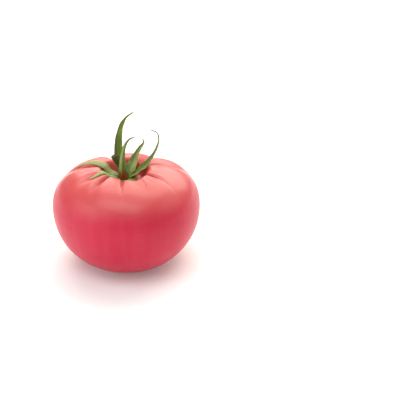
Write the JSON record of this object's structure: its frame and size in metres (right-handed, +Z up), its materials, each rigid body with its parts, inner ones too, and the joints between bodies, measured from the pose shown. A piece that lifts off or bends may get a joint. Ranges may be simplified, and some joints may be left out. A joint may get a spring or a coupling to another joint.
{
  "type": "tomato",
  "caption": "Whole ripe pink tomato, squat and softly lobed, with a green calyx of slender curling sepals and a short cut stalk, resting on its small flat base.",
  "frame": {"origin": "middle of the small flat spot that the fruit rests on", "axes": "+Z up along the core, towards the stalk; the stalk leans towards -X; the tallest sepal stands on the +Y side"},
  "size_m": [0.0854, 0.0855, 0.0892],
  "materials": {
    "skin": "gloss",
    "disc_green": "matte",
    "stalk_green": "matte",
    "sepal_green": "satin"
  },
  "bodies": {
    "root": {"fruit": "skin", "calyx_disc": "disc_green", "stalk": "stalk_green", "sepal_front": "sepal_green", "sepal_back": "sepal_green", "sepal_left": "sepal_green", "sepal_front_left": "sepal_green", "sepal_back_right": "sepal_green", "sepal_right": "sepal_green"}
  },
  "joints": []
}
